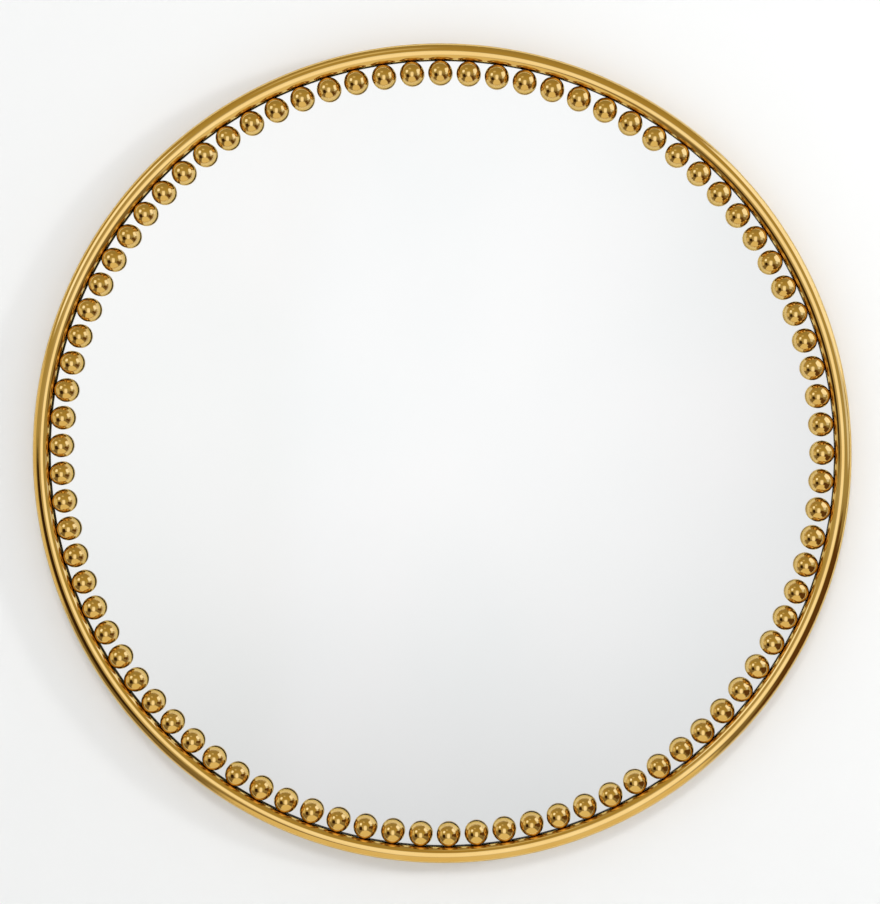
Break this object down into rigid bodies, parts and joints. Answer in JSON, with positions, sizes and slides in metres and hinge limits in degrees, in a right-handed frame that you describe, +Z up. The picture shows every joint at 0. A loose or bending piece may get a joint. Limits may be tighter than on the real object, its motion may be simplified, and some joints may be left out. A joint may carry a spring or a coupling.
{
  "type": "round girandole wall mirror",
  "caption": "Round wall mirror with a slim crowned brass rim, a ring of polished half-balls on the border of the glass, and two swinging D-rings behind to hang it by.",
  "frame": {"origin": "centre of the mirror in the plane of the wall behind it, which the felt on the rim's rear edge rests against", "axes": "-Y towards the viewer and +Y into the wall, +Z up as hung, +X to the right as seen from the front"},
  "size_m": [0.8639, 0.0429, 0.864],
  "materials": {
    "polished_brass": "polished and lacquered",
    "silvered_glass": "silvered float glass with ground edges",
    "black_foam": "closed-cell foam tape",
    "cork_rubber": "firm rubber",
    "white_foam": "soft polyethylene foam",
    "fibreboard": "bare pressed fibreboard",
    "zinc_steel": "bright zinc plated",
    "nickel_wire": "nickel plated wire",
    "grey_felt": "pressed wool felt"
  },
  "bodies": {
    "mirror": {"front_moulding": "polished_brass", "side_hoop": "polished_brass", "wall_felt": "grey_felt", "mirror_plate": "silvered_glass", "lip_cushion": "black_foam", "setting_blocks": "cork_rubber", "foam_sheet": "white_foam", "backing_board": "fibreboard", "retaining_brackets": "zinc_steel", "hoop_screws": "zinc_steel", "board_screws": "zinc_steel", "hanger_strap_left": "zinc_steel", "hanger_strap_right": "zinc_steel", "hanger_screws": "zinc_steel", "half_balls_1": "polished_brass", "half_balls_2": "polished_brass", "half_balls_3": "polished_brass", "half_balls_4": "polished_brass", "half_balls_5": "polished_brass"},
    "ring_left": {"hanger_ring_left": "nickel_wire"},
    "ring_right": {"hanger_ring_right": "nickel_wire"}
  },
  "joints": [
    {"name": "ring_left_swing", "type": "hinge", "parent": "mirror", "child": "ring_left", "pos_m": [-0.26, -0.0108, 0.23], "axis": [1, 0, 0], "range_deg": [0, 180]},
    {"name": "ring_right_swing", "type": "hinge", "parent": "mirror", "child": "ring_right", "pos_m": [0.26, -0.0108, 0.23], "axis": [1, 0, 0], "range_deg": [0, 180]}
  ]
}
